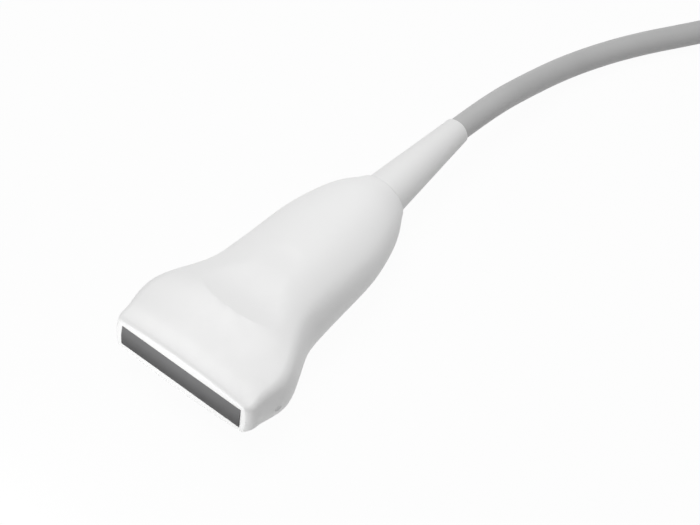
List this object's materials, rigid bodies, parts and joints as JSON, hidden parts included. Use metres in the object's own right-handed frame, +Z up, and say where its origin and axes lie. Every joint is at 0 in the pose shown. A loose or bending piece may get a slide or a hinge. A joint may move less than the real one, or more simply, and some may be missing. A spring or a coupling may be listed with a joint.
{
  "type": "ultrasound transducer probe",
  "caption": "Linear-array ultrasound transducer probe: a flat lens in a broad moulded head, a waisted hand grip, and a long tied lead with its system connector.",
  "frame": {"origin": "on the surface that the probe lies on, below the middle of the probe from the crown of the lens to the tip of the strain relief, without the free lead and the connector", "axes": "+X across the probe towards the side with the dimple, +Y along the probe from the lens to the lead, +Z up from the broad side it lies on"},
  "size_m": [0.0673, 0.5243, 0.0604],
  "materials": {
    "housing_white": "satin",
    "boot_white": "satin",
    "lens_grey": "satin",
    "epoxy_black": "matt",
    "ceramic_cream": "matt",
    "polyimide_amber": "gloss",
    "frame_aluminium": "satin",
    "board_green": "satin",
    "socket_black": "matt",
    "shield_copper": "satin",
    "steel": "satin",
    "contact_gold": "gloss",
    "gasket_grey": "matt",
    "lead_grey": "satin",
    "conductors_blue": "matt",
    "plug_grey": "satin",
    "knob_grey": "satin",
    "tie_black": "matt"
  },
  "bodies": {
    "probe_and_lead": {"upper_housing": "housing_white", "lower_housing": "housing_white", "acoustic_lens": "lens_grey", "outer_matching_layer": "epoxy_black", "inner_matching_layer": "epoxy_black", "piezo_array": "ceramic_cream", "flex_circuit": "polyimide_amber", "backing_block": "epoxy_black", "array_frame": "frame_aluminium", "upper_board": "board_green", "lower_board": "board_green", "upper_socket": "socket_black", "lower_socket": "socket_black", "board_spacer": "socket_black", "spacer_screws": "steel", "shield_sleeve": "shield_copper", "coax_fan": "conductors_blue", "lead_ferrule": "steel", "held_lead": "lead_grey", "strain_relief": "boot_white", "cable": "lead_grey", "cable_hank": "lead_grey", "hank_tie": "tie_black", "cable_tail": "lead_grey", "connector_base": "plug_grey", "connector_cover": "plug_grey", "contact_block": "socket_black", "contact_pins": "contact_gold", "shield_gasket": "gasket_grey", "connector_board": "board_green", "board_header": "socket_black", "connector_fan": "conductors_blue", "connector_lead": "lead_grey", "connector_boot": "boot_white", "lead_clamp": "steel", "clamp_screws": "steel", "cover_screws": "steel"},
    "connector_lock": {"lock_shaft": "steel", "lock_cross_pin": "steel", "shaft_clip": "steel", "lock_knob": "knob_grey", "knob_screw": "steel"}
  },
  "joints": [
    {"name": "lock_turn", "type": "hinge", "parent": "probe_and_lead", "child": "connector_lock", "pos_m": [0.0103, 0.433, 0.04685], "axis": [0, 0, -1], "range_deg": [0, 90]}
  ]
}
